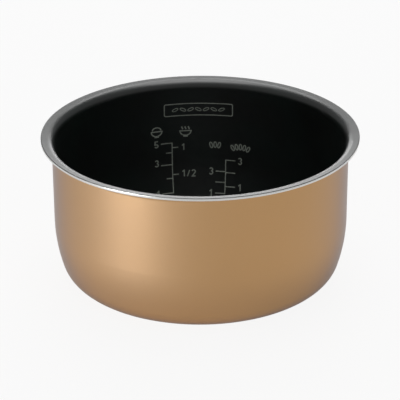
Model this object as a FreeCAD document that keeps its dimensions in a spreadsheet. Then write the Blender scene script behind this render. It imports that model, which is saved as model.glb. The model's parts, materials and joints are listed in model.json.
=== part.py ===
import FreeCAD, Part
import math
import os
import Sketcher

# The inner pot of a rice cooker: +Z up, the origin in the middle of its foot, millimetres and degrees.
# One pressed aluminium sheet carries a gold enamel outside, a black lining inside and, printed on the
# lining, two filling scales and a frame. All layers follow one section, each drawn at its own depth
# below the outside face, so they meet face to face at any size. The filling marks stand where the
# pot holds their volumes.

DIMENSIONS = {
    # The pressed form, measured on its outside face
    "wall_radius": 100.0,
    "pot_height": 101.6,
    "side_radius": 104.0,  # slow curve under the straight wall
    "side_sweep": 17.0,  # degrees that the slow curve turns
    "corner_radius": 16.7,  # quick curve into the foot
    "foot_width": 18.0,  # flat ring that the pot stands on
    "dish_run": 8.0,  # slope from the foot up to the dished middle
    "dish_rise": 0.8,
    # The lip
    "lip_overhang": 7.2,  # beyond the outside of the wall
    "lip_rise": 8.0,  # degrees that the lip climbs outwards
    "throat_radius": 4.0,  # hollow between the wall and the lip
    "edge_round": 0.5,  # on both sides of the trimmed edge
    "bare_edge": 1.4,  # bare metal from the trimmed edge in to the enamel, under the lip
    "lining_wrap": 20.0,  # degrees above level at which the lining stops on the edge's upper rounding
    # The layers
    "metal_gauge": 1.6,
    "enamel_film": 0.2,
    "lining_film": 0.2,
    "ink_film": 0.1,
    "enamel_hem": 1.0,  # height above the foot at which the enamel stops
    # The filling marks, in millilitres held by the coated pot
    "main_fill_1": 330.0,
    "main_fill_2": 640.0,
    "main_fill_3": 950.0,
    "main_fill_4": 1235.0,
    "main_fill_5": 1465.0,
    "thin_fill_1": 720.0,
    "thin_fill_2": 1355.0,
    "dense_fill_1": 305.0,
    "dense_fill_2": 535.0,
    "dense_fill_3": 775.0,
    "coarse_fill_1": 450.0,
    "coarse_fill_2": 755.0,
    "coarse_fill_3": 1045.0,
    # The printed scales
    "rule_width": 0.7,
    "main_tick": 8.4,
    "short_tick": 4.6,
    "side_tick": 7.3,
    "left_scale_turn": 12.1,  # degrees to the left of the middle of the back wall
    "right_scale_turn": 11.0,  # degrees to the right of it
    # The printed frame
    "panel_width": 50.0,
    "panel_height": 9.7,
    "panel_corner": 1.4,
    "panel_line": 0.6,
    "panel_turn": 0.7,  # degrees to the left
    "panel_share": 0.616,  # its place up the clear wall between the top mark and the lip
}

# Depths of the layers' faces below the outside face of the wall
OUTSIDE = "0"
ENAMEL_BACK = "dims.enamel_film"
LINING_BACK = "(dims.enamel_film + dims.metal_gauge)"
INSIDE = "(dims.enamel_film + dims.metal_gauge + dims.lining_film)"
INK_FACE = f"({INSIDE} + dims.ink_film)"

# Centres of the section's curves, which all depths share, and the depth of the upper edge rounding's centre
SIDE_X = "(dims.wall_radius - dims.side_radius)"
CENTRE_GAP = "(dims.side_radius - dims.corner_radius)"
SIDE_Y = f"(dims.corner_radius + {CENTRE_GAP} * sin(dims.side_sweep))"
CORNER_X = f"({SIDE_X} + {CENTRE_GAP} * cos(dims.side_sweep))"
LIP_RADIUS = "(dims.wall_radius + dims.lip_overhang)"
EDGE_X = f"({LIP_RADIUS} - dims.edge_round)"
EDGE_Y = "(dims.pot_height - dims.edge_round)"
EDGE_DEPTH = f"({INSIDE} - dims.edge_round)"
THROAT_X = "(dims.wall_radius + dims.throat_radius)"
THROAT_DROP = f"({EDGE_DEPTH} + dims.throat_radius - ({THROAT_X} - {EDGE_X}) * sin(dims.lip_rise))"
THROAT_Y = f"({EDGE_Y} - {THROAT_DROP} / cos(dims.lip_rise))"

# Sketcher counts a curve's points from 1
START, END, CENTRE = range(1, 4)

UP = FreeCAD.Vector(0, 0, 1)
CUBIC_MM_PER_ML = 1000.0
SLICE_HEIGHT = 0.02

document = FreeCAD.newDocument("inner_pot")
sheet = document.addObject("Spreadsheet::Sheet", "dims")


def fill_sheet(cells, first_row):
    """Write named numbers into the sheet, one a row."""
    for row, (alias, value) in enumerate(cells.items(), start=first_row):
        sheet.set(f"A{row}", alias)
        sheet.set(f"B{row}", str(value))
        sheet.setAlias(f"B{row}", alias)
    document.recompute()


fill_sheet(DIMENSIONS, 1)
reader = document.addObject("App::FeaturePython", "reader")


def number(expression):
    """The value of an expression on the sheet's cells."""
    return float(reader.evalExpression(expression))


side_centre = (number(SIDE_X), number(SIDE_Y))
corner_centre = (number(CORNER_X), number("dims.corner_radius"))
edge_centre = (number(EDGE_X), number(EDGE_Y))
throat_centre = (number(THROAT_X), number(THROAT_Y))
lip_slope = math.radians(number("dims.lip_rise"))


class Section:
    """A closed section on a body's XZ plane: x is the radius and y the height."""

    def __init__(self, body, name):
        self.sketch = body.newObject("Sketcher::SketchObject", name)
        plane = next(feature for feature in body.Origin.OriginFeatures if feature.Role == "XZ_Plane")
        self.sketch.AttachmentSupport = (plane, [""])
        self.sketch.MapMode = "FlatFace"

    def line(self, start, end):
        """Draw a straight line."""
        segment = Part.LineSegment(FreeCAD.Vector(*start, 0), FreeCAD.Vector(*end, 0))
        return self.sketch.addGeometry(segment)

    def arc(self, centre, radius, start, end):
        """Draw an arc counterclockwise between two directions in degrees."""
        circle = Part.Circle(FreeCAD.Vector(*centre, 0), UP, radius)
        return self.sketch.addGeometry(Part.ArcOfCircle(circle, math.radians(start), math.radians(end)))

    def tie(self, kind, *curves):
        """Add a constraint that has no size."""
        self.sketch.addConstraint(Sketcher.Constraint(kind, *curves))

    def size(self, name, kind, *curves, to):
        """Add a constraint whose size is bound to the sheet."""
        value = number(to)
        if kind == "Angle":
            value = math.radians(value)
        index = self.sketch.addConstraint(Sketcher.Constraint(kind, *curves, value))
        self.sketch.renameConstraint(index, name)
        self.sketch.setExpression(f"Constraints.{name}", to)

    def close(self, first, first_end, second, second_end):
        """Join two open ends with a straight line."""
        start = self.sketch.getPoint(first, first_end)
        end = self.sketch.getPoint(second, second_end)
        line = self.line((start.x, start.y), (end.x, end.y))
        self.tie("Coincident", line, START, first, first_end)
        self.tie("Coincident", line, END, second, second_end)
        return line


def draw_wall(section, face, depth, bottom="-90"):
    """Draw one face of the wall: the quick corner from a bottom direction, the slow curve, the straight."""
    inset = number(depth)
    turn = number("dims.side_sweep")
    wall_x = number("dims.wall_radius") - inset
    corner = section.arc(corner_centre, number("dims.corner_radius") - inset, number(bottom), -turn)
    side = section.arc(side_centre, number("dims.side_radius") - inset, -turn, 0)
    wall = section.line((wall_x, side_centre[1]), (wall_x, throat_centre[1]))
    section.tie("Tangent", corner, END, side, START)
    section.tie("Tangent", side, END, wall, START)
    section.tie("Vertical", wall)
    section.size(f"{face}_corner", "Radius", corner, to=f"dims.corner_radius - {depth}")
    section.size(f"{face}_side", "Radius", side, to=f"dims.side_radius - {depth}")
    section.size(f"{face}_sweep", "Angle", side, to="dims.side_sweep")
    section.size(f"{face}_wall", "DistanceX", wall, START, to=f"dims.wall_radius - {depth}")
    section.size(f"{face}_stand", "DistanceY", corner, CENTRE, to="dims.corner_radius")
    return corner, wall


def draw_lip(section, face, depth, wall):
    """Draw one face of the lip, from the top of the wall out through the throat."""
    radius = number("dims.throat_radius") + number(depth)
    start_x = throat_centre[0] - radius * math.sin(lip_slope)
    start_y = throat_centre[1] + radius * math.cos(lip_slope)
    end_x = number(f"{LIP_RADIUS} - dims.bare_edge")
    end_y = start_y + (end_x - start_x) * math.tan(lip_slope)
    throat = section.arc(throat_centre, radius, 90 + number("dims.lip_rise"), 180)
    lip = section.line((start_x, start_y), (end_x, end_y))
    section.tie("Tangent", wall, END, throat, END)
    section.tie("Tangent", throat, START, lip, START)
    section.size(f"{face}_throat", "Radius", throat, to=f"dims.throat_radius + {depth}")
    section.size(f"{face}_rise", "Angle", lip, to="dims.lip_rise")
    return lip


def draw_floor(section, face, depth, corner):
    """Draw one face of the floor, from the corner in over the foot to the dished middle."""
    height = number(depth)
    foot_end = corner_centre[0] - number("dims.foot_width")
    dish_start = foot_end - number("dims.dish_run")
    dish_height = height + number("dims.dish_rise")
    foot = section.line((corner_centre[0], height), (foot_end, height))
    slope = section.line((foot_end, height), (dish_start, dish_height))
    dish = section.line((dish_start, dish_height), (0, dish_height))
    section.tie("Tangent", corner, START, foot, START)
    section.tie("Horizontal", foot)
    section.tie("Coincident", foot, END, slope, START)
    section.tie("Coincident", slope, END, dish, START)
    section.tie("Horizontal", dish)
    section.size(f"{face}_foot", "DistanceX", foot, END, foot, START, to="dims.foot_width")
    section.size(f"{face}_dish_run", "DistanceX", slope, END, slope, START, to="dims.dish_run")
    section.size(f"{face}_dish_rise", "DistanceY", slope, START, slope, END, to="dims.dish_rise")
    section.size(f"{face}_axis", "DistanceX", dish, END, to="0")
    return dish


def place_lip(section, face, depth, lip):
    """Place a coat's face under the lip by its distance from the centre of the edge's upper rounding."""
    middle = section.sketch.addGeometry(Part.Point(FreeCAD.Vector(*edge_centre, 0)), True)
    section.size(f"{face}_edge_x", "DistanceX", middle, START, to=EDGE_X)
    section.size(f"{face}_edge_y", "DistanceY", middle, START, to=EDGE_Y)
    section.size(f"{face}_lip", "Distance", middle, START, lip, to=f"{EDGE_DEPTH} - {depth}")


def wrap_edge(section, face, depth, lip):
    """Carry a coat's face from the lip over the upper rounding of the edge."""
    radius = f"{depth} - {EDGE_DEPTH}"
    edge = section.arc(edge_centre, number(radius), number("dims.lining_wrap"), 90 + number("dims.lip_rise"))
    section.tie("Tangent", lip, END, edge, END)
    section.size(f"{face}_edge", "Radius", edge, to=radius)
    return edge


def trim_edge(section, under, top):
    """Close the lip with an upright edge, rounded towards its underside and its top."""
    rise = number("dims.lip_rise")
    radius = number("dims.edge_round")
    edge_x = number(LIP_RADIUS)
    low_centre = (edge_centre[0], edge_centre[1] - (number(EDGE_DEPTH) - radius) / math.cos(lip_slope))
    low = section.arc(low_centre, radius, rise - 90, 0)
    edge = section.line((edge_x, low_centre[1]), (edge_x, edge_centre[1]))
    high = section.arc(edge_centre, radius, 0, rise + 90)
    section.tie("Tangent", under, END, low, START)
    section.tie("Tangent", low, END, edge, START)
    section.tie("Tangent", edge, END, high, START)
    section.tie("Tangent", top, END, high, END)
    section.tie("Vertical", edge)
    section.tie("Equal", low, high)
    section.size("edge_round", "Radius", high, to="dims.edge_round")
    section.size("edge_x", "DistanceX", high, CENTRE, to=EDGE_X)
    section.size("edge_y", "DistanceY", high, CENTRE, to=EDGE_Y)
    section.size("lip_gauge", "Distance", high, CENTRE, under, to=EDGE_DEPTH)


def shell_section(body):
    """The whole wall, from the axis to the trimmed edge of the lip."""
    section = Section(body, "shell_section")
    dishes = []
    lips = []
    for face, depth in (("outer", OUTSIDE), ("inner", INSIDE)):
        corner, wall = draw_wall(section, face, depth)
        lips.append(draw_lip(section, face, depth, wall))
        dishes.append(draw_floor(section, face, depth, corner))
    trim_edge(section, *lips)
    section.close(dishes[0], END, dishes[1], END)
    return section.sketch


def enamel_section(body):
    """The outer coat, from its hem above the foot to the bare edge under the lip."""
    section = Section(body, "enamel_section")
    corners = []
    lips = []
    hem_direction = "asin(dims.enamel_hem / dims.corner_radius - 1)"
    for face, depth in (("outer", OUTSIDE), ("back", ENAMEL_BACK)):
        corner, wall = draw_wall(section, face, depth, hem_direction)
        lip = draw_lip(section, face, depth, wall)
        place_lip(section, face, depth, lip)
        corners.append(corner)
        lips.append(lip)
    cap = section.close(lips[0], END, lips[1], END)
    section.tie("Perpendicular", cap, lips[0])
    section.size("coat_end", "DistanceX", lips[0], END, to=f"{LIP_RADIUS} - dims.bare_edge")
    hem = section.close(corners[0], START, corners[1], START)
    section.tie("PointOnObject", corners[0], CENTRE, hem)
    section.size("hem", "DistanceY", corners[0], START, to="dims.enamel_hem")
    return section.sketch


def lining_section(body):
    """The inner coat, from the axis over the floor, the wall and the lip onto the edge's upper rounding."""
    section = Section(body, "lining_section")
    dishes = []
    edges = []
    for face, depth in (("back", LINING_BACK), ("inner", INSIDE)):
        corner, wall = draw_wall(section, face, depth)
        lip = draw_lip(section, face, depth, wall)
        edges.append(wrap_edge(section, face, depth, lip))
        dishes.append(draw_floor(section, face, depth, corner))
    section.size("edge_x", "DistanceX", edges[0], CENTRE, to=EDGE_X)
    section.size("edge_y", "DistanceY", edges[0], CENTRE, to=EDGE_Y)
    section.tie("Coincident", edges[0], CENTRE, edges[1], CENTRE)
    hem = section.close(edges[0], START, edges[1], START)
    section.tie("PointOnObject", edges[0], CENTRE, hem)
    section.size("wrap", "Angle", hem, to="dims.lining_wrap")
    section.close(dishes[0], END, dishes[1], END)
    return section.sketch


def ink_section(body):
    """A film over the whole inside wall up to the throat, from which the prints are cut."""
    section = Section(body, "ink_section")
    corners = []
    walls = []
    for face, depth in (("back", INSIDE), ("front", INK_FACE)):
        corner, wall = draw_wall(section, face, depth)
        section.size(f"{face}_top", "DistanceY", wall, END, to=THROAT_Y)
        section.size(f"{face}_bottom", "DistanceX", corner, START, to=CORNER_X)
        corners.append(corner)
        walls.append(wall)
    section.close(walls[0], END, walls[1], END)
    section.close(corners[0], START, corners[1], START)
    return section.sketch


def panel_section(body):
    """The printed frame as seen from the front: one rounded rectangle inside another."""
    section = Section(body, "panel_section")
    middle = f"(dims.main_mark_5 + dims.panel_share * ({THROAT_Y} - dims.main_mark_5))"
    for name, inset in (("outside", "0"), ("inside", "dims.panel_line")):
        width = f"(dims.panel_width - 2 * {inset})"
        height = f"(dims.panel_height - 2 * {inset})"
        corner = f"(dims.panel_corner - {inset})"
        draw_rounded_rectangle(section, name, width, height, corner, middle)
    return section.sketch


def draw_rounded_rectangle(section, name, width, height, corner, middle):
    """Draw a rounded rectangle across the vertical axis, around a middle height."""
    half_width = number(width) / 2
    half_height = number(height) / 2
    radius = number(corner)
    centre_y = number(middle)
    quarter_turns = ((1, -1, -90), (1, 1, 0), (-1, 1, 90), (-1, -1, 180))
    corners = []
    for right, up, start in quarter_turns:
        centre = (right * (half_width - radius), centre_y + up * (half_height - radius))
        corners.append(section.arc(centre, radius, start, start + 90))
    for index, kind in enumerate(("Vertical", "Horizontal", "Vertical", "Horizontal")):
        following = corners[(index + 1) % 4]
        start = section.sketch.getPoint(corners[index], END)
        end = section.sketch.getPoint(following, START)
        side = section.line((start.x, start.y), (end.x, end.y))
        section.tie("Tangent", corners[index], END, side, START)
        section.tie("Tangent", side, END, following, START)
        section.tie(kind, side)
    for other in corners[1:]:
        section.tie("Equal", corners[0], other)
    low_right, high_right, high_left, low_left = corners
    section.size(f"{name}_corner", "Radius", low_right, to=corner)
    section.size(f"{name}_right", "DistanceX", low_right, END, to=f"{width} / 2")
    section.size(f"{name}_width", "DistanceX", high_left, END, low_right, END, to=width)
    section.size(f"{name}_bottom", "DistanceY", low_right, START, to=f"{middle} - {height} / 2")
    section.size(f"{name}_height", "DistanceY", low_right, START, high_right, END, to=height)


def add_body(label):
    """Start a body under its label."""
    body = document.addObject("PartDesign::Body", label)
    body.Label = label
    return body


def turn_section(body, kind, sketch):
    """Turn a section about the pot's axis, as a solid (Revolution) or as a cut (Groove)."""
    feature = body.newObject(f"PartDesign::{kind}", f"turned_{sketch.Name}")
    feature.Profile = sketch
    feature.ReferenceAxis = (sketch, ["V_Axis"])
    feature.Angle = 360.0
    document.recompute()


def turn_about_axis(thing, angle):
    """Turn a stencil about the pot's axis by an angle on the sheet."""
    thing.Placement = FreeCAD.Placement(FreeCAD.Vector(), FreeCAD.Rotation(UP, number(angle)))
    thing.setExpression("Placement.Rotation.Angle", angle)


def cut_print(label, stencil):
    """Keep of the ink film what a stencil lets through."""
    printed = document.addObject("Part::Common", label)
    printed.Label = label
    printed.Base = ink_film
    printed.Tool = stencil
    return printed


class Cavity:
    """The space inside the coated pot, by which the filling marks are placed."""

    def __init__(self):
        self.floor = number(INSIDE)
        self.wall = number(f"dims.wall_radius - {INSIDE}")
        self.side = number(f"dims.side_radius - {INSIDE}")
        self.corner = number(f"dims.corner_radius - {INSIDE}")
        self.joint = number(f"dims.corner_radius - (dims.corner_radius - {INSIDE}) * sin(dims.side_sweep)")
        outer = number(f"{CORNER_X} - dims.foot_width")
        inner = outer - number("dims.dish_run")
        self.dish = math.pi * number("dims.dish_rise") * (outer ** 2 + outer * inner + inner ** 2) / 3

    def radius(self, height):
        """Inside radius at a height above the foot."""
        if height >= side_centre[1]:
            return self.wall
        if height >= self.joint:
            return side_centre[0] + math.sqrt(self.side ** 2 - (height - side_centre[1]) ** 2)
        return corner_centre[0] + math.sqrt(self.corner ** 2 - (height - corner_centre[1]) ** 2)

    def fill_height(self, millilitres):
        """Height above the foot at which a volume stands, found by adding slices from the floor up."""
        missing = millilitres * CUBIC_MM_PER_ML + self.dish
        height = self.floor
        while missing > 0:
            area = math.pi * self.radius(height + SLICE_HEIGHT / 2) ** 2
            missing -= area * SLICE_HEIGHT
            height += SLICE_HEIGHT
        return height + missing / area


def mark_name(fill):
    """The sheet's name for the height of a filling mark."""
    return fill.replace("_fill_", "_mark_")


def add_bar(name, left, right, bottom, top):
    """Add a bar of a stencil, which reaches from the pot's axis through the back wall."""
    bar = document.addObject("Part::Box", name)
    bar.setExpression("Length", f"{right} - ({left})")
    bar.setExpression("Width", "dims.wall_radius")
    bar.setExpression("Height", f"{top} - ({bottom})")
    bar.setExpression("Placement.Base.x", left)
    bar.setExpression("Placement.Base.z", bottom)
    return bar


def add_scale(label, angle, left_ticks, right_ticks):
    """Print a scale: an upright spine with ticks to its left and right at the filling marks."""
    half = "dims.rule_width / 2"
    marks = [f"dims.{mark_name(fill)}" for fill in (*left_ticks, *right_ticks)]
    lowest = f"min({'; '.join(marks)})"
    highest = f"max({'; '.join(marks)})"
    bars = [add_bar(f"{label}_spine", f"-{half}", half, f"{lowest} - {half}", f"{highest} + {half}")]
    for fill, tick in left_ticks.items():
        mark = f"dims.{mark_name(fill)}"
        bars.append(add_bar(f"{label}_{fill}", f"-dims.{tick}", "0", f"{mark} - {half}", f"{mark} + {half}"))
    for fill, tick in right_ticks.items():
        mark = f"dims.{mark_name(fill)}"
        bars.append(add_bar(f"{label}_{fill}", "0", f"dims.{tick}", f"{mark} - {half}", f"{mark} + {half}"))
    stencil = document.addObject("Part::MultiFuse", f"{label}_stencil")
    stencil.Shapes = bars
    turn_about_axis(stencil, angle)
    return cut_print(label, stencil)


def add_panel(label):
    """Print the frame above the scales."""
    stencil = add_body(f"{label}_stencil")
    pad = stencil.newObject("PartDesign::Pad", f"{label}_pad")
    pad.Profile = panel_section(stencil)
    pad.Reversed = True
    pad.setExpression("Length", "dims.wall_radius")
    turn_about_axis(stencil, "dims.panel_turn")
    return cut_print(label, stencil)


cavity = Cavity()
fills = [alias for alias in DIMENSIONS if "_fill_" in alias]
fill_sheet({mark_name(fill): cavity.fill_height(DIMENSIONS[fill]) for fill in fills}, len(DIMENSIONS) + 1)

pot_shell = add_body("pot_shell")
turn_section(pot_shell, "Revolution", shell_section(pot_shell))
turn_section(pot_shell, "Groove", enamel_section(pot_shell))
turn_section(pot_shell, "Groove", lining_section(pot_shell))

outer_enamel = add_body("outer_enamel")
turn_section(outer_enamel, "Revolution", enamel_section(outer_enamel))

inner_lining = add_body("inner_lining")
turn_section(inner_lining, "Revolution", lining_section(inner_lining))

ink_film = add_body("ink_film")
turn_section(ink_film, "Revolution", ink_section(ink_film))

left_scale_rule = add_scale(
    "left_scale_rule",
    "dims.left_scale_turn",
    {
        "main_fill_1": "main_tick",
        "main_fill_2": "short_tick",
        "main_fill_3": "main_tick",
        "main_fill_4": "short_tick",
        "main_fill_5": "main_tick",
    },
    {"thin_fill_1": "short_tick", "thin_fill_2": "short_tick"},
)
right_scale_rule = add_scale(
    "right_scale_rule",
    "-dims.right_scale_turn",
    {fill: "side_tick" for fill in ("dense_fill_1", "dense_fill_2", "dense_fill_3")},
    {fill: "side_tick" for fill in ("coarse_fill_1", "coarse_fill_2", "coarse_fill_3")},
)
panel_frame = add_panel("panel_frame")
document.recompute()

for thing in document.Objects:
    if "Invalid" in thing.State or "Error" in thing.State:
        raise RuntimeError(f"{thing.Label} failed to build")
    if thing.TypeId == "Sketcher::SketchObject" and not thing.FullyConstrained:
        owner = thing.getParentGeoFeatureGroup()
        raise RuntimeError(f"{thing.Label} of {owner.Label} is not fully constrained")

os.makedirs("parts", exist_ok=True)
for node in (pot_shell, outer_enamel, inner_lining, left_scale_rule, right_scale_rule, panel_frame):
    if node.Shape.isNull() or not node.Shape.isValid():
        raise RuntimeError(f"{node.Label} has no valid shape")
    node.Shape.exportStep(f"parts/{node.Label}.step")
    print(f"{node.Label}: {len(node.Shape.Solids)} solid, {node.Shape.Volume:.1f} cubic mm")
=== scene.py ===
"""Looks of a rice cooker's inner pot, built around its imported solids.

The solids keep their shapes and get their finishes here: gold enamel outside, a black lining
inside, bare turned aluminium at the edge and the foot. The print on the back wall, which starts
from the solid rules and frame, gets its numerals and signs, and a plain studio holds the pot.
"""

import json
import logging
import math
from dataclasses import dataclass, field
from enum import Enum
from typing import Any, Mapping, Sequence

import bmesh
import bpy
from mathutils import Matrix, Vector
from mathutils.bvhtree import BVHTree

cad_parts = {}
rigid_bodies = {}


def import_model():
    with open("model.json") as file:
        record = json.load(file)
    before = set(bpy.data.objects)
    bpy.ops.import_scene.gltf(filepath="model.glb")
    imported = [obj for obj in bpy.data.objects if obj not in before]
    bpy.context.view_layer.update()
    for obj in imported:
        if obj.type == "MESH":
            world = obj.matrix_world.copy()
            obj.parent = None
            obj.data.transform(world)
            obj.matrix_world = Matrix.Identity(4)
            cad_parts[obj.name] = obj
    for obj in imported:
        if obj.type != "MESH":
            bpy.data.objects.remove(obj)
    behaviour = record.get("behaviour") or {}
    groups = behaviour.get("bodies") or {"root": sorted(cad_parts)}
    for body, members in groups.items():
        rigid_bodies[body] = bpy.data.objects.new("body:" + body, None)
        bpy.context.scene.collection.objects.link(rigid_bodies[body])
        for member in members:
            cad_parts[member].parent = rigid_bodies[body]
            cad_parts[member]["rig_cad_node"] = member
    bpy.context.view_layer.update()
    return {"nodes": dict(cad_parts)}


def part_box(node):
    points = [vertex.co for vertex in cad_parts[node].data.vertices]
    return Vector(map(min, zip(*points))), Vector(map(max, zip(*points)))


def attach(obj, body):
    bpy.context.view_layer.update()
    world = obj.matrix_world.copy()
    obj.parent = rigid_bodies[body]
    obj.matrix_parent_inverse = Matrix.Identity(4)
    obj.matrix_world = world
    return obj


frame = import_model()

LOG = logging.getLogger("inner_pot")
BODY = "root"
MM = 0.001
WHITE = (1.0, 1.0, 1.0, 1.0)
MIX_SHARE, MIX_FIRST, MIX_SECOND, MIX_RESULT = 0, 6, 7, 2

Colour = tuple[float, float, float, float]
Flat = tuple[float, float]
Place = tuple[float, float, float]


class Signal:
    """A shader socket that takes part in arithmetic: each operator adds a Math node."""

    def __init__(self, graph: "ShaderGraph", socket: bpy.types.NodeSocket) -> None:
        """Wrap an output socket of a graph."""
        self.graph = graph
        self.socket = socket

    def __add__(self, other: "Signal | float") -> "Signal":
        """Add a signal or a number."""
        return self.graph.math("ADD", self, other)

    def __radd__(self, other: float) -> "Signal":
        """Add to a number."""
        return self.graph.math("ADD", other, self)

    def __sub__(self, other: "Signal | float") -> "Signal":
        """Subtract a signal or a number."""
        return self.graph.math("SUBTRACT", self, other)

    def __rsub__(self, other: float) -> "Signal":
        """Subtract from a number."""
        return self.graph.math("SUBTRACT", other, self)

    def __mul__(self, other: "Signal | float") -> "Signal":
        """Multiply by a signal or a number."""
        return self.graph.math("MULTIPLY", self, other)

    def __rmul__(self, other: float) -> "Signal":
        """Multiply a number."""
        return self.graph.math("MULTIPLY", other, self)

    def __pow__(self, power: float) -> "Signal":
        """Raise to a power."""
        return self.graph.math("POWER", self, power)

    def step(self, ends: Flat) -> "Signal":
        """Rise smoothly from 0 at one value to 1 at another.

        Args:
            ends: the value at which the result is 0, and the value at which it is 1.

        Returns:
            The share between the two.
        """
        inputs = {"Value": self, "From Min": ends[0], "From Max": ends[1]}
        return self.graph.node("ShaderNodeMapRange", {"interpolation_type": "SMOOTHSTEP"}, inputs)

    def other(self, output: str) -> "Signal":
        """Take another output of the same node."""
        return Signal(self.graph, self.socket.node.outputs[output])


class ShaderGraph:
    """The nodes of one material or world, added by type, settings and sockets."""

    def __init__(self, owner: bpy.types.Material | bpy.types.World) -> None:
        """Start from an empty graph.

        Args:
            owner: the material or world whose nodes these are.
        """
        owner.use_nodes = True
        self.tree = owner.node_tree
        self.tree.nodes.clear()

    def add(
        self,
        kind: str,
        settings: Mapping[str, Any] | None = None,
        inputs: Mapping[str | int, Any] | None = None,
    ) -> bpy.types.Node:
        """Add a node.

        Args:
            kind: Blender's type of the node.
            settings: the node's own properties, set first.
            inputs: a number, colour or signal for each named or numbered socket.

        Returns:
            The node.
        """
        node = self.tree.nodes.new(kind)
        for name, value in (settings or {}).items():
            setattr(node, name, value)
        for name, value in (inputs or {}).items():
            if isinstance(value, Signal):
                self.tree.links.new(value.socket, node.inputs[name])
            else:
                node.inputs[name].default_value = value
        return node

    def node(
        self,
        kind: str,
        settings: Mapping[str, Any] | None = None,
        inputs: Mapping[str | int, Any] | None = None,
        output: str | int = 0,
    ) -> Signal:
        """Add a node and read one of its outputs.

        Args:
            kind: Blender's type of the node.
            settings: the node's own properties.
            inputs: what its sockets get.
            output: the socket that the result is read from.

        Returns:
            The chosen output.
        """
        return Signal(self, self.add(kind, settings, inputs).outputs[output])

    def math(self, operation: str, *terms: Signal | float) -> Signal:
        """Add a Math node.

        Args:
            operation: Blender's name of the operation.
            *terms: the node's inputs in order.

        Returns:
            The node's result.
        """
        return self.node("ShaderNodeMath", {"operation": operation}, dict(enumerate(terms)))

    def place(self) -> Signal:
        """Give the point on the object, in metres in the shared frame."""
        return self.node("ShaderNodeTexCoord", output="Object")

    def noise(self, place: Signal, size: float, detail: float = 2.0) -> Signal:
        """Add smooth noise around a half.

        Args:
            place: where it is sampled.
            size: the width of its features, in the units of the place.
            detail: how many finer layers are added.

        Returns:
            The noise.
        """
        return self.node("ShaderNodeTexNoise", None, {"Vector": place, "Scale": 1 / size, "Detail": detail})

    def cells(self, place: Signal, size: float) -> Signal:
        """Add cells as flakes have.

        Args:
            place: where they are sampled.
            size: the width of a cell, in the units of the place.

        Returns:
            The distance from the middle of the nearest cell, in cells.
        """
        return self.node("ShaderNodeTexVoronoi", None, {"Vector": place, "Scale": 1 / size}, "Distance")

    def chance(self, cells: Signal) -> Signal:
        """Give each cell a steady number of its own between 0 and 1."""
        return self.node("ShaderNodeSeparateColor", None, {"Color": cells.other("Color")}, "Red")

    def blend(self, first: Colour | Signal, second: Colour | Signal, share: Signal) -> Signal:
        """Mix two colours, through the sockets that the Mix node has for them.

        Args:
            first: the colour at a share of 0.
            second: the colour at a share of 1.
            share: how much of the second there is.

        Returns:
            The mixed colour.
        """
        inputs = {MIX_SHARE: share, MIX_FIRST: first, MIX_SECOND: second}
        return self.node("ShaderNodeMix", {"data_type": "RGBA"}, inputs, MIX_RESULT)

    def bump(self, height: Signal, depth: float, strength: float) -> Signal:
        """Turn a height into a bent normal.

        Args:
            height: the relief, from 0 to 1.
            depth: what a height of 1 stands for, in metres.
            strength: how much of the relief shows.

        Returns:
            The normal.
        """
        inputs = {"Height": height, "Distance": depth, "Strength": strength}
        return self.node("ShaderNodeBump", None, inputs)

    def seen(self, to_eye: float, in_mirrors: float) -> Signal:
        """Tell straight looks from reflections.

        Args:
            to_eye: the result on the way straight to the camera.
            in_mirrors: the result in a reflection or through glass.

        Returns:
            The one that holds, or 0 for light on its way to a surface.
        """
        camera = self.node("ShaderNodeLightPath", output="Is Camera Ray")
        mirrored = camera.other("Is Glossy Ray") + camera.other("Is Transmission Ray")
        return to_eye * camera + in_mirrors * mirrored

    def mix(self, share: Signal, first: Signal, second: Signal) -> Signal:
        """Mix two shaders by the share of the second."""
        return self.node("ShaderNodeMixShader", None, {0: share, 1: first, 2: second})

    def principled(self, inputs: Mapping[str, Any]) -> Signal:
        """Add the shader of a finish."""
        return self.node("ShaderNodeBsdfPrincipled", None, inputs)

    def finish(self, surface: Signal, output: str = "ShaderNodeOutputMaterial") -> None:
        """Send a shader to the graph's output.

        Args:
            surface: the shader.
            output: Blender's type of the output node.
        """
        self.add(output, None, {"Surface": surface})


def new_material(name: str) -> tuple[bpy.types.Material, ShaderGraph]:
    """Start a material.

    Args:
        name: its name.

    Returns:
        The material and its empty graph.
    """
    material = bpy.data.materials.new(name)
    return material, ShaderGraph(material)


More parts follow.
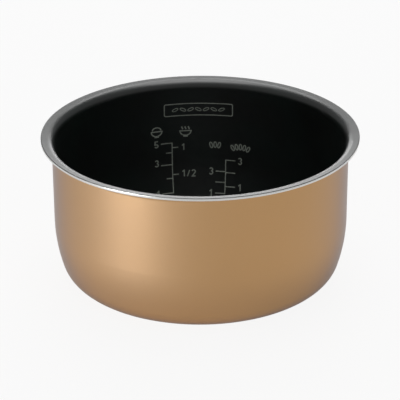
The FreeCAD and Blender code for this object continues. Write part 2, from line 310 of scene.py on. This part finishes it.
@dataclass(frozen=True)
class GoldEnamel:
    """Satin metallic enamel: fine gold flakes in a lacquer that flowed out a little uneven.

    The edge is the tint that the flakes take on where the wall is seen at a glancing angle.
    """

    slot: str = "gold_enamel"
    deep: Colour = (0.56, 0.278, 0.056, 1.0)
    light: Colour = (0.6, 0.298, 0.06, 1.0)
    edge: Colour = (0.41, 0.46, 0.62, 1.0)
    metal: float = 1.0
    roughness: float = 0.27
    lacquer: float = 1.0
    lacquer_roughness: float = 0.47
    lacquer_index: float = 2.2
    flake: float = 0.22 * MM
    flake_colour: float = 0.8
    flake_roughness: float = 0.03
    flake_relief: float = 0.2
    cloud: float = 22 * MM
    cloud_colour: float = 0.2
    cloud_roughness: float = 0.03
    peel: float = 1.3 * MM
    peel_depth: float = 0.02 * MM
    peel_strength: float = 0.12

    def build(self) -> bpy.types.Material:
        """Make the finish.

        Returns:
            The material.
        """
        material, graph = new_material(self.slot)
        place = graph.place()
        glint = graph.chance(graph.cells(place, self.flake))
        cloud = graph.noise(place, self.cloud)
        relief = graph.noise(place, self.peel) + self.flake_relief * glint
        share = self.flake_colour * glint + self.cloud_colour * cloud
        graph.finish(graph.principled({
            "Base Color": graph.blend(self.deep, self.light, share),
            "Metallic": self.metal,
            "Specular Tint": self.edge,
            "Roughness": self.roughness + self.flake_roughness * glint + self.cloud_roughness * cloud,
            "Normal": graph.bump(relief, self.peel_depth, self.peel_strength),
            "Coat Weight": self.lacquer,
            "Coat Roughness": self.lacquer_roughness,
            "Coat IOR": self.lacquer_index,
        }))
        return material


@dataclass(frozen=True)
class BlackLining:
    """Satin non-stick coat: near black, with a faint teal tone in random clouds, a sprayed grain and a few
    bright specks of mineral.
    """

    slot: str = "black_lining"
    black: Colour = (0.0018, 0.0034, 0.0028, 1.0)
    # A faint teal tone, laid in random clouds over the black.
    teal_tone: Colour = (0.0024, 0.0085, 0.0068, 1.0)
    speck: Colour = (0.16, 0.165, 0.16, 1.0)
    index: float = 2.0
    roughness: float = 0.285
    grain: float = 0.45 * MM
    grain_layers: float = 3.0
    grain_roughness: float = 0.08
    grain_depth: float = 0.012 * MM
    grain_strength: float = 0.4
    cloud: float = 30 * MM
    teal_cloud_share: Flat = (0.35, 0.7)
    cloud_roughness: float = 0.03
    speck_spacing: float = 0.9 * MM
    speck_edge: Flat = (0.05, 0.16)
    speck_choice: Flat = (0.55, 0.75)
    speck_roughness: float = 0.08
    speck_relief: float = 0.5

    def build(self) -> bpy.types.Material:
        """Make the finish.

        Returns:
            The material.
        """
        material, graph = new_material(self.slot)
        place = graph.place()
        grain = graph.noise(place, self.grain, self.grain_layers)
        cloud = graph.noise(place, self.cloud)
        cells = graph.cells(place, self.speck_spacing)
        speck = (1 - cells.step(self.speck_edge)) * graph.chance(cells).step(self.speck_choice)
        # The near black gets a faint teal tone in random clouds.
        ground = graph.blend(self.black, self.teal_tone, cloud.step(self.teal_cloud_share))
        sprayed = self.roughness + self.grain_roughness * grain + self.cloud_roughness * cloud
        relief = grain + self.speck_relief * speck
        graph.finish(graph.principled({
            "Base Color": graph.blend(ground, self.speck, speck),
            "Roughness": sprayed - self.speck_roughness * speck,
            "Normal": graph.bump(relief, self.grain_depth, self.grain_strength),
            "IOR": self.index,
        }))
        return material


@dataclass(frozen=True)
class TurnedAluminium:
    """Bare aluminium with the fine rings that turning leaves.

    The pitch is how far their pattern shifts in each radian of the turn, so that no ring is the
    same all round.
    """

    slot: str = "bare_aluminium"
    bright: Colour = (0.94, 0.94, 0.92, 1.0)
    grey: Colour = (0.74, 0.74, 0.73, 1.0)
    metal: float = 1.0
    ring: float = 0.18 * MM
    ring_layers: float = 3.0
    ring_bright: Flat = (0.3, 0.65)
    ring_pitch: float = 0.3 * MM
    ring_depth: float = 0.008 * MM
    ring_strength: float = 0.5
    roughness: float = 0.22
    ring_roughness: float = 0.14

    def build(self) -> bpy.types.Material:
        """Make the finish.

        Returns:
            The material.
        """
        material, graph = new_material(self.slot)
        across = graph.node("ShaderNodeSeparateXYZ", None, {0: graph.place()}, "X")
        deep = across.other("Y")
        radius = (across * across + deep * deep) ** 0.5
        turn = self.ring_pitch * graph.math("ARCTAN2", deep, across)
        turned = graph.node("ShaderNodeCombineXYZ", None, {0: radius, 1: across.other("Z"), 2: turn})
        rings = graph.noise(turned, self.ring, self.ring_layers)
        graph.finish(graph.principled({
            "Base Color": graph.blend(self.grey, self.bright, rings.step(self.ring_bright)),
            "Metallic": self.metal,
            "Roughness": self.roughness + self.ring_roughness * rings,
            "Normal": graph.bump(rings, self.ring_depth, self.ring_strength),
        }))
        return material


@dataclass(frozen=True)
class ScaleInk:
    """Matt grey printing ink, laid a little unevenly."""

    slot: str = "scale_ink"
    full: Colour = (0.6, 0.65, 0.57, 1.0)
    thin: Colour = (0.41, 0.445, 0.39, 1.0)
    mottle: float = 1.1 * MM
    mottle_thin: Flat = (0.4, 0.75)
    mottle_colour: float = 0.7
    grain: float = 0.12 * MM
    grain_colour: float = 0.3
    grain_depth: float = 0.01 * MM
    grain_strength: float = 0.3
    roughness: float = 0.55
    grain_roughness: float = 0.2

    def build(self) -> bpy.types.Material:
        """Make the finish.

        Returns:
            The material.
        """
        material, graph = new_material(self.slot)
        place = graph.place()
        mottle = graph.noise(place, self.mottle)
        grain = graph.noise(place, self.grain)
        share = self.mottle_colour * mottle.step(self.mottle_thin) + self.grain_colour * grain
        graph.finish(graph.principled({
            "Base Color": graph.blend(self.full, self.thin, share),
            "Roughness": self.roughness + self.grain_roughness * grain,
            "Normal": graph.bump(grain, self.grain_depth, self.grain_strength),
        }))
        return material


@dataclass(frozen=True)
class StudioPaper:
    """Plain pale paper under the pot, nearly white to the eye and keeping part of the pot's shadow.

    The even shares say how much plain white takes the place of the lit paper.
    """

    name: str = "studio_paper"
    pale: Colour = (0.74, 0.74, 0.74, 1.0)
    paler: Colour = (0.78, 0.78, 0.78, 1.0)
    fibre: float = 4 * MM
    roughness: float = 0.75
    fibre_roughness: float = 0.1
    sheen: float = 0.2
    even_to_eye: float = 0.9
    even_in_mirrors: float = 0.29

    def build(self) -> bpy.types.Material:
        """Make the finish.

        Returns:
            The material.
        """
        material, graph = new_material(self.name)
        fibre = graph.noise(graph.place(), self.fibre)
        paper = graph.principled({
            "Base Color": graph.blend(self.pale, self.paler, fibre),
            "Roughness": self.roughness + self.fibre_roughness * fibre,
            "Specular IOR Level": self.sheen,
        })
        white = graph.node("ShaderNodeEmission", None, {"Color": WHITE, "Strength": 1.0})
        graph.finish(graph.mix(graph.seen(self.even_to_eye, self.even_in_mirrors), paper, white))
        return material


@dataclass(frozen=True)
class Stroke:
    """A line of print in flat millimetres, as seen from the front, drawn with one width of pen."""

    points: tuple[Flat, ...]
    closed: bool = False

    def moved(self, right: float, up: float, turn: float = 0.0) -> "Stroke":
        """Turn the stroke about the origin and then shift it.

        Args:
            right: the shift to the right.
            up: the shift upwards.
            turn: the turn to the left, in degrees.

        Returns:
            The moved stroke.
        """
        cosine = math.cos(math.radians(turn))
        sine = math.sin(math.radians(turn))
        points = tuple((right + x * cosine - y * sine, up + x * sine + y * cosine) for x, y in self.points)
        return Stroke(points, self.closed)


def arc_points(centre: Flat, radii: Flat, start: float, end: float, step: float = 12.0) -> tuple[Flat, ...]:
    """Sample an arc of an upright ellipse.

    Args:
        centre: the ellipse's middle.
        radii: its half width and half height.
        start: the first direction, in degrees.
        end: the last direction, in degrees.
        step: about how many degrees lie between points.

    Returns:
        The points from start to end.
    """
    count = max(2, round(abs(end - start) / step))
    turns = [math.radians(start + (end - start) * index / count) for index in range(count + 1)]
    return tuple((centre[0] + radii[0] * math.cos(t), centre[1] + radii[1] * math.sin(t)) for t in turns)


class Numeral(Enum):
    """The plain signs that numbers on the scales are set from."""

    ONE = "1"
    TWO = "2"
    THREE = "3"
    FIVE = "5"
    SLASH = "/"


@dataclass(frozen=True)
class NumeralSet:
    """Line-drawn numerals of one height and one width, in millimetres, centred on their mark.

    Each bow is given by its first and last direction, in degrees.
    """

    height: float = 5.5
    digit_width: float = 3.15
    slash_width: float = 2.6
    pen: float = 0.8
    gap: float = 0.95
    flag_width: float = 1.35
    flag_drop: float = 1.1
    two_bow: Flat = (165.0, -35.0)
    three_upper_bow: Flat = (160.0, -90.0)
    three_upper_width: float = 0.92
    three_lower_bow: Flat = (90.0, -160.0)
    three_lower_share: float = 0.53
    five_bow: Flat = (130.0, -155.0)
    five_lean: float = 0.25
    five_stem: float = 0.19

    @property
    def top(self) -> float:
        """Height of the pen's path above the middle."""
        return (self.height - self.pen) / 2

    def width(self, numeral: Numeral) -> float:
        """Width that a numeral takes up, pen included."""
        return self.slash_width if numeral is Numeral.SLASH else self.digit_width

    def strokes(self, numeral: Numeral) -> list[Stroke]:
        """Draw a numeral between its left edge at 0 and its width.

        Args:
            numeral: which one.

        Returns:
            Its strokes.
        """
        middle = self.width(numeral) / 2
        half = middle - self.pen / 2
        if numeral is Numeral.ONE:
            return self.one(middle)
        if numeral is Numeral.TWO:
            return self.two(middle, half)
        if numeral is Numeral.THREE:
            return self.three(middle, half)
        if numeral is Numeral.FIVE:
            return self.five(middle, half)
        return [Stroke(((middle - half, -self.top), (middle + half, self.top)))]

    def one(self, middle: float) -> list[Stroke]:
        """Draw a one: its stem and its flag.

        Args:
            middle: where its middle is.

        Returns:
            Its strokes.
        """
        stem = middle + self.flag_width / 2
        flag = ((stem - self.flag_width, self.top - self.flag_drop), (stem, self.top))
        return [Stroke(((stem, -self.top), (stem, self.top + self.pen / 2))), Stroke(flag)]

    def two(self, middle: float, half: float) -> list[Stroke]:
        """Draw a two in one stroke.

        Args:
            middle: where its middle is.
            half: its half width.

        Returns:
            Its stroke.
        """
        bow = arc_points((middle, self.top - half), (half, half), *self.two_bow)
        return [Stroke((*bow, (middle - half, -self.top), (middle + half, -self.top)))]

    def three(self, middle: float, half: float) -> list[Stroke]:
        """Draw a three: two bows, the lower one larger.

        Args:
            middle: where its middle is.
            half: its half width.

        Returns:
            Its strokes.
        """
        low = self.top * self.three_lower_share
        high = self.top - low
        narrow = half * self.three_upper_width
        upper = arc_points((middle, self.top - high), (narrow, high), *self.three_upper_bow)
        lower = arc_points((middle, low - self.top), (half, low), *self.three_lower_bow)
        return [Stroke(upper), Stroke(lower)]

    def five(self, middle: float, half: float) -> list[Stroke]:
        """Draw a five: its roof and stem, and its bowl.

        Args:
            middle: where its middle is.
            half: its half width.

        Returns:
            Its strokes.
        """
        roof = ((middle + half, self.top), (middle - half + self.five_lean, self.top))
        foot = (middle - half, -self.top * self.five_stem)
        bowl = arc_points((middle, -self.top / 2), (half, self.top / 2), *self.five_bow)
        return [Stroke((*roof, foot)), Stroke(bowl)]

    def row(self, numerals: Sequence[Numeral]) -> tuple[list[Stroke], float]:
        """Set numerals side by side.

        Args:
            numerals: from left to right.

        Returns:
            Their strokes, from a left edge at 0, and the width of the row.
        """
        strokes: list[Stroke] = []
        edge = 0.0
        for numeral in numerals:
            strokes += [stroke.moved(edge, 0.0) for stroke in self.strokes(numeral)]
            edge += self.width(numeral) + self.gap
        return strokes, edge - self.gap


@dataclass(frozen=True)
class SignSet:
    """Small line drawings that say what each column of the scales measures, in millimetres."""

    bowl_width: float = 9.0
    bowl_belly: float = 8.1
    bowl_depth: float = 3.6
    bowl_foot: float = 3.2
    foot_drop: float = 0.7
    heap_width: float = 6.5
    heap_rise: float = 2.3
    heap_gap: float = 0.9
    steam_pitch: float = 2.4
    steam_rise: float = 2.2
    steam_gap: float = 1.2
    steam_sway: float = 0.35
    grain_length: float = 4.4
    grain_width: float = 1.9
    grain_step: float = 15.0
    fan_gap: float = 1.0
    fan_droop: float = 0.3
    fan_splay: float = 14.0

    def grain(self) -> Stroke:
        """Draw one grain lying level."""
        radii = (self.grain_length / 2, self.grain_width / 2)
        return Stroke(arc_points((0, 0), radii, 0, 360 - self.grain_step, self.grain_step), closed=True)

    def bowl(self) -> list[Stroke]:
        """Draw a bowl whose rim is at height 0.

        Returns:
            Its rim, its belly and its foot.
        """
        rim = ((-self.bowl_width / 2, 0), (self.bowl_width / 2, 0))
        belly = arc_points((0, 0), (self.bowl_belly / 2, self.bowl_depth), 180, 360)
        base = -self.bowl_depth - self.foot_drop
        foot = ((-self.bowl_foot / 2, base), (self.bowl_foot / 2, base))
        return [Stroke(rim), Stroke(belly), Stroke(foot)]

    def heaped_bowl(self) -> list[Stroke]:
        """Draw a bowl with a heap in it."""
        heap = arc_points((0, self.heap_gap), (self.heap_width / 2, self.heap_rise), 180, 0)
        return [*self.bowl(), Stroke(heap)]

    def steaming_bowl(self, steps: int = 8) -> list[Stroke]:
        """Draw a bowl with three curls of steam over it.

        Args:
            steps: how many runs each curl has.

        Returns:
            Its strokes.
        """
        shares = [step / steps for step in range(steps + 1)]
        curl = Stroke(tuple(
            (self.steam_sway * math.sin(2 * math.pi * share), self.steam_gap + self.steam_rise * share)
            for share in shares
        ))
        return [*self.bowl(), *(curl.moved(place * self.steam_pitch, 0) for place in (-1, 0, 1))]

    def grain_fan(self, count: int) -> list[Stroke]:
        """Draw upright grains fanned out.

        Args:
            count: how many.

        Returns:
            Their strokes.
        """
        pitch = self.grain_width + self.fan_gap
        places = [index - (count - 1) / 2 for index in range(count)]
        return [
            self.grain().moved(place * pitch, -self.fan_droop * place ** 2, 90 - self.fan_splay * place)
            for place in places
        ]

    def grain_row(self, count: int, pitch: float, lean: float) -> list[Stroke]:
        """Draw a level row of grains that lean to and fro.

        Args:
            count: how many.
            pitch: the distance from one to the next.
            lean: how far each leans, in degrees.

        Returns:
            Their strokes.
        """
        middle = (count - 1) / 2
        return [
            self.grain().moved((index - middle) * pitch, 0, lean * (-1) ** index)
            for index in range(count)
        ]


class WallPrint:
    """A printed mesh: strokes laid on the inside wall, seen from the front of their own column.

    Their faces stand off the wall and their roots lie in it. A corner is stretched to keep its
    line's width, up to the bend whose half has the cosine of the limit.
    """

    FACE = 0.1 * MM
    ROOT = -0.03 * MM
    BEND_LIMIT = 0.5

    def __init__(self, name: str, wall: BVHTree, turn: float, pen: float) -> None:
        """Start an empty print.

        Args:
            name: the piece's name.
            wall: the lining's faces.
            turn: how far round to the left of the back wall's middle it faces, in degrees.
            pen: the width of its lines, in millimetres.
        """
        self.name = name
        self.wall = wall
        self.turn = Matrix.Rotation(math.radians(turn), 3, "Z")
        self.pen = pen
        self.mesh = bmesh.new()

    def on_wall(self, point: Flat, lift: float) -> Vector:
        """Carry a flat point straight back onto the wall.

        Args:
            point: across and up, in millimetres.
            lift: how far it stands off the wall, in metres.

        Returns:
            The point in the shared frame.
        """
        start = self.turn @ Vector((point[0] * MM, 0, point[1] * MM))
        hit, normal, _, _ = self.wall.ray_cast(start, self.turn @ Vector((0, 1, 0)))
        inward = normal if normal.dot(start - hit) > 0 else -normal
        return hit + inward * lift

    @staticmethod
    def spread(stroke: Stroke, longest: float = 0.9) -> list[Flat]:
        """Divide a stroke's long runs, so that it follows the wall.

        Args:
            stroke: the stroke.
            longest: the longest run left, in millimetres.

        Returns:
            Its points.
        """
        ends = [*stroke.points, stroke.points[0]] if stroke.closed else list(stroke.points)
        points: list[Flat] = []
        for (x0, y0), (x1, y1) in zip(ends, ends[1:]):
            count = max(1, math.ceil(math.hypot(x1 - x0, y1 - y0) / longest))
            points += [(x0 + (x1 - x0) * k / count, y0 + (y1 - y0) * k / count) for k in range(count)]
        return points if stroke.closed else [*points, ends[-1]]

    @classmethod
    def side_step(cls, points: Sequence[Flat], index: int, closed: bool) -> Flat:
        """Find the way from a stroke's middle to its left side, long enough to keep its width at a bend.

        Args:
            points: the stroke's points.
            index: the point asked about.
            closed: whether the last point joins the first.

        Returns:
            The step for a half width of 1.
        """
        here = Vector(points[index])
        runs = []
        if closed or index > 0:
            runs.append((here - Vector(points[index - 1])).normalized())
        if closed or index < len(points) - 1:
            runs.append((Vector(points[(index + 1) % len(points)]) - here).normalized())
        along = sum(runs, Vector((0, 0))).normalized()
        stretch = 1 / max(cls.BEND_LIMIT, along.dot(runs[0]))
        return -along.y * stretch, along.x * stretch

    def draw(self, stroke: Stroke) -> None:
        """Lay one stroke on the wall as a closed ribbon.

        Args:
            stroke: what to draw.
        """
        points = self.spread(stroke)
        half = self.pen / 2
        rings = []
        for index, (x, y) in enumerate(points):
            step_x, step_y = self.side_step(points, index, stroke.closed)
            left = (x + step_x * half, y + step_y * half)
            right = (x - step_x * half, y - step_y * half)
            corners = ((left, self.ROOT), (right, self.ROOT), (right, self.FACE), (left, self.FACE))
            rings.append([self.mesh.verts.new(self.on_wall(point, lift)) for point, lift in corners])
        pairs = list(zip(rings, rings[1:]))
        if stroke.closed:
            pairs.append((rings[-1], rings[0]))
        else:
            self.mesh.faces.new(rings[0])
            self.mesh.faces.new(reversed(rings[-1]))
        for first, second in pairs:
            for side in range(4):
                after = (side + 1) % 4
                self.mesh.faces.new((first[side], second[side], second[after], first[after]))

    def finish(self, material: bpy.types.Material, slot: str) -> bpy.types.Object:
        """Turn the strokes into a piece of the pot.

        Args:
            material: its finish.
            slot: not used.

        Returns:
            The piece.
        """
        bmesh.ops.recalc_face_normals(self.mesh, faces=self.mesh.faces)
        data = bpy.data.meshes.new(self.name)
        self.mesh.to_mesh(data)
        self.mesh.free()
        data.materials.append(material)
        piece = bpy.data.objects.new(self.name, data)
        bpy.context.scene.collection.objects.link(piece)
        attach(piece, BODY)
        return piece


class Side(Enum):
    """The two sides of a scale's spine."""

    LEFT = -1
    RIGHT = 1


@dataclass(frozen=True)
class Number:
    """What stands beside a tick: its numerals, and how far above the tick they are, in millimetres."""

    numerals: tuple[Numeral, ...] = ()
    lift: float = 0.0


@dataclass(frozen=True)
class Column:
    """One column of a scale: the numbers beside its longest ticks, from the lowest up, and its sign."""

    name: str
    side: Side
    numbers: tuple[Number, ...]
    sign: tuple[Stroke, ...]
    sign_place: Flat


@dataclass
class FillingScale:
    """A printed scale: its solid rule gets the ink, and numbers and signs stand beside its ticks.

    The gap lies between a tick and its number. A corner of the rule belongs to the longest ticks
    where it is within reach of the farthest one.
    """

    node: str
    turn: float
    columns: tuple[Column, ...]
    numerals: NumeralSet = field(default_factory=NumeralSet)
    gap: float = 1.8
    reach: float = 0.3

    def ticks(self, side: Side) -> tuple[float, list[float]]:
        """Find the longest ticks on one side of the rule.

        Args:
            side: which side.

        Returns:
            How far they reach across and their heights from the lowest up, in millimetres.
        """
        back = Matrix.Rotation(math.radians(-self.turn), 3, "Z")
        points = [(back @ vertex.co) / MM for vertex in frame["nodes"][self.node].data.vertices]
        tip = max(side.value * point.x for point in points)
        edges = sorted(point.z for point in points if side.value * point.x > tip - self.reach)
        groups: list[list[float]] = [[edges[0]]]
        for edge in edges[1:]:
            if edge - groups[-1][0] < 2 * self.numerals.pen:
                groups[-1].append(edge)
            else:
                groups.append([edge])
        return side.value * tip, [(min(group) + max(group)) / 2 for group in groups]

    def build_numbers(self, column: Column, wall: BVHTree) -> WallPrint:
        """Print the numbers of a column.

        Args:
            column: which one.
            wall: the lining's faces.

        Returns:
            The print.
        """
        tip, heights = self.ticks(column.side)
        printed = WallPrint(f"{column.name}_numbers", wall, self.turn, self.numerals.pen)
        for height, number in zip(heights, column.numbers):
            strokes, width = self.numerals.row(number.numerals)
            edge = tip + self.gap if column.side is Side.RIGHT else tip - self.gap - width
            for stroke in strokes:
                printed.draw(stroke.moved(edge, height + number.lift))
        return printed

    def build_sign(self, column: Column, wall: BVHTree) -> WallPrint:
        """Print the sign of a column.

        Args:
            column: which one.
            wall: the lining's faces.

        Returns:
            The print.
        """
        printed = WallPrint(f"{column.name}_sign", wall, self.turn, self.numerals.pen)
        for stroke in column.sign:
            printed.draw(stroke.moved(*column.sign_place))
        return printed

    def build(self, wall: BVHTree, ink: bpy.types.Material, slot: str) -> list[bpy.types.Object]:
        """Print the numbers and signs of every column.

        Args:
            wall: the lining's faces.
            ink: the finish.
            slot: the record's slot for it.

        Returns:
            One piece of numbers and one sign for each column.
        """
        prints = []
        for column in self.columns:
            prints += [self.build_numbers(column, wall), self.build_sign(column, wall)]
        return [printed.finish(ink, slot) for printed in prints]


@dataclass
class PanelPrint:
    """The printed frame above the scales, with a row of grains in it."""

    signs: SignSet
    node: str = "panel_frame"
    turn: float = 0.7
    grains: int = 7
    pitch: float = 5.6
    lean: float = 24.0
    pen: float = 0.5

    def build(self, wall: BVHTree, ink: bpy.types.Material, slot: str) -> bpy.types.Object:
        """Print the row of grains.

        Args:
            wall: the lining's faces.
            ink: the finish.
            slot: the record's slot for it.

        Returns:
            The piece.
        """
        low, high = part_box(self.node)
        height = (low.z + high.z) / 2 / MM
        row = WallPrint("panel_grains", wall, self.turn, self.pen)
        for stroke in self.signs.grain_row(self.grains, self.pitch, self.lean):
            row.draw(stroke.moved(0, height))
        return row.finish(ink, slot)


@dataclass
class PotBody:
    """The pressed pot: its solids keep their shapes and get their finishes."""

    shell: TurnedAluminium = field(default_factory=TurnedAluminium)
    outside: GoldEnamel = field(default_factory=GoldEnamel)
    inside: BlackLining = field(default_factory=BlackLining)

    def dress(self) -> list[bpy.types.Object]:
        """Give the three solids their finishes.

        Returns:
            The dressed solids.
        """
        finishes = {"pot_shell": self.shell, "outer_enamel": self.outside, "inner_lining": self.inside}
        for name, finish in finishes.items():
            dress_node(name, finish.build())
        return [frame["nodes"][name] for name in finishes]

    @staticmethod
    def wall() -> BVHTree:
        """Give the lining's faces, for what is printed on them."""
        return BVHTree.FromObject(frame["nodes"]["inner_lining"], bpy.context.evaluated_depsgraph_get())


@dataclass
class FillingPrint:
    """All print on the inside wall: turns in degrees, lifts and the places of the signs in millimetres."""

    ink: ScaleInk = field(default_factory=ScaleInk)
    signs: SignSet = field(default_factory=SignSet)
    left_turn: float = 12.1
    right_turn: float = -11.0
    half_lift: float = 0.4
    three_lift: float = 2.0
    main_sign: Flat = (-11.5, 63.5)
    thin_sign: Flat = (10.0, 62.5)
    dense_sign: Flat = (-7.8, 51.3)
    dense_grains: int = 3
    coarse_sign: Flat = (11.0, 50.8)
    coarse_grains: int = 5

    def scales(self) -> tuple[FillingScale, ...]:
        """Describe the two scales.

        Returns:
            The left one and the right one.
        """
        one, three, five = (Number((numeral,)) for numeral in (Numeral.ONE, Numeral.THREE, Numeral.FIVE))
        half = Number((Numeral.ONE, Numeral.SLASH, Numeral.TWO), self.half_lift)
        raised = Number(three.numerals, self.three_lift)
        odd = (one, Number(), three)
        heap = tuple(self.signs.heaped_bowl())
        steam = tuple(self.signs.steaming_bowl())
        few = tuple(self.signs.grain_fan(self.dense_grains))
        many = tuple(self.signs.grain_fan(self.coarse_grains))
        main = Column("main", Side.LEFT, (one, raised, five), heap, self.main_sign)
        thin = Column("thin", Side.RIGHT, (half, one), steam, self.thin_sign)
        dense = Column("dense", Side.LEFT, odd, few, self.dense_sign)
        coarse = Column("coarse", Side.RIGHT, odd, many, self.coarse_sign)
        return (
            FillingScale("left_scale_rule", self.left_turn, (main, thin)),
            FillingScale("right_scale_rule", self.right_turn, (dense, coarse)),
        )

    def build(self, wall: BVHTree) -> list[bpy.types.Object]:
        """Ink the solid rules and frame, and print what stands beside them.

        Args:
            wall: the lining's faces.

        Returns:
            Every printed piece.
        """
        ink = self.ink.build()
        slot = self.ink.slot
        scales = self.scales()
        panel = PanelPrint(self.signs)
        nodes = [*(scale.node for scale in scales), panel.node]
        for node in nodes:
            dress_node(node, ink)
        pieces = [frame["nodes"][node] for node in nodes]
        for scale in scales:
            pieces += scale.build(wall, ink, slot)
        return [*pieces, panel.build(wall, ink, slot)]


@dataclass(frozen=True)
class Softbox:
    """A soft lamp that faces the pot: its direction in degrees, its size and distance in metres.

    It stands round to the left of the camera's side and up from the floor. Its brightness is that
    of its face, on the scale on which a white background is 1.
    """

    name: str
    left: float
    up: float
    size: Flat
    brightness: float
    distance: float = 2.2
    aim: Place = (0.0, 0.0, 0.05)

    def build(self) -> bpy.types.Object:
        """Set up the lamp.

        Returns:
            The lamp.
        """
        turn = math.radians(self.left)
        rise = math.radians(self.up)
        away = Vector((-math.sin(turn) * math.cos(rise), -math.cos(turn) * math.cos(rise), math.sin(rise)))
        data = bpy.data.lights.new(self.name, "AREA")
        data.shape = "RECTANGLE"
        data.size, data.size_y = self.size
        data.energy = self.brightness * math.pi * self.size[0] * self.size[1]
        lamp = bpy.data.objects.new(self.name, data)
        lamp.location = Vector(self.aim) + away * self.distance
        lamp.rotation_euler = (-away).to_track_quat("-Z", "Y").to_euler()
        bpy.context.scene.collection.objects.link(lamp)
        return lamp


@dataclass
class Studio:
    """A plain pale floor, soft light and the camera, in metres, with its lens and film in millimetres."""

    paper: StudioPaper = field(default_factory=StudioPaper)
    floor_half: float = 3.0
    sky: float = 0.2
    sky_to_eye: float = 1.0
    sky_in_mirrors: float = 0.01
    lamps: tuple[Softbox, ...] = (
        Softbox("key_softbox", 50.8, 0.2, (1.0, 0.1), 104.0),
        Softbox("fill_softbox", -120, 0.2, (1.0, 0.1), 16.0),
        Softbox("back_low_softbox", 180, 7, (1.1, 0.48), 3.6),
        Softbox("back_softbox", 180, 24, (1.1, 0.8), 0.6),
        Softbox("back_high_softbox", 180, 48, (1.6, 0.6), 2.9),
        Softbox("back_top_softbox", 180, 64, (1.6, 0.6), 1.2),
        Softbox("top_softbox", 180, 88, (1.6, 1.24), 2.3),
        Softbox("front_top_softbox", 0, 68, (1.6, 0.6), 0.6),
    )
    distance: float = 1.284
    elevation: float = math.radians(24.68)
    roll: float = math.radians(-0.33)
    aim: Place = (-0.00035, 0.0, 0.0515)
    lens: float = 168.8
    film: float = 36.0

    def build_floor(self) -> bpy.types.Object:
        """Lay the floor.

        Returns:
            The floor.
        """
        data = bpy.data.meshes.new("floor")
        half = self.floor_half
        corners = [(-half, -half, 0), (half, -half, 0), (half, half, 0), (-half, half, 0)]
        data.from_pydata(corners, [], [(0, 1, 2, 3)])
        data.materials.append(self.paper.build())
        floor = bpy.data.objects.new("floor", data)
        bpy.context.scene.collection.objects.link(floor)
        return floor

    def build_light(self) -> None:
        """Set up the sky, white to the eye and dim to the pot, and the lamps."""
        world = bpy.data.worlds.new("studio_sky")
        bpy.context.scene.world = world
        graph = ShaderGraph(world)
        dim, white = (
            graph.node("ShaderNodeBackground", None, {"Color": WHITE, "Strength": strength})
            for strength in (self.sky, 1.0)
        )
        share = graph.seen(self.sky_to_eye, self.sky_in_mirrors)
        graph.finish(graph.mix(share, dim, white), "ShaderNodeOutputWorld")
        for lamp in self.lamps:
            lamp.build()

    def build_camera(self) -> bpy.types.Object:
        """Set up the camera at the photograph's view.

        Returns:
            The camera.
        """
        data = bpy.data.cameras.new("camera")
        data.sensor_width = self.film
        data.lens = self.lens
        camera = bpy.data.objects.new("camera", data)
        away = Vector((0, -math.cos(self.elevation), math.sin(self.elevation)))
        camera.location = Vector(self.aim) + away * self.distance
        level = (-away).to_track_quat("-Z", "Y").to_matrix()
        camera.rotation_euler = (level @ Matrix.Rotation(self.roll, 3, "Z")).to_euler()
        bpy.context.scene.collection.objects.link(camera)
        bpy.context.scene.camera = camera
        return camera

    def build(self) -> None:
        """Set up everything around the pot."""
        bpy.context.scene.view_settings.view_transform = "Standard"
        self.build_floor()
        self.build_light()
        self.build_camera()


def dress_node(name: str, material: bpy.types.Material) -> None:
    """Give a solid one finish.

    Args:
        name: the solid's node.
        material: the finish.
    """
    for slot in frame["nodes"][name].material_slots:
        slot.material = material


def clear_start_scene() -> None:
    """Remove what the start scene holds besides the pot."""
    for thing in list(bpy.data.objects):
        if thing.type in {"CAMERA", "LIGHT"} or (thing.type == "MESH" and "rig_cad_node" not in thing):
            bpy.data.objects.remove(thing)


def write_sizes() -> None:
    """Bring the view layer up to date."""
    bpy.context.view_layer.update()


def main() -> None:
    """Dress the pot, print its scales and set up the studio."""
    logging.basicConfig(level=logging.INFO, format="%(name)s: %(message)s")
    clear_start_scene()
    pot = PotBody()
    pieces = pot.dress()
    pieces += FillingPrint().build(pot.wall())
    Studio().build()
    for piece in pieces:
        LOG.info("%s: %d faces", piece.name, len(piece.data.polygons))
    write_sizes()


if __name__ == "__main__":
    main()
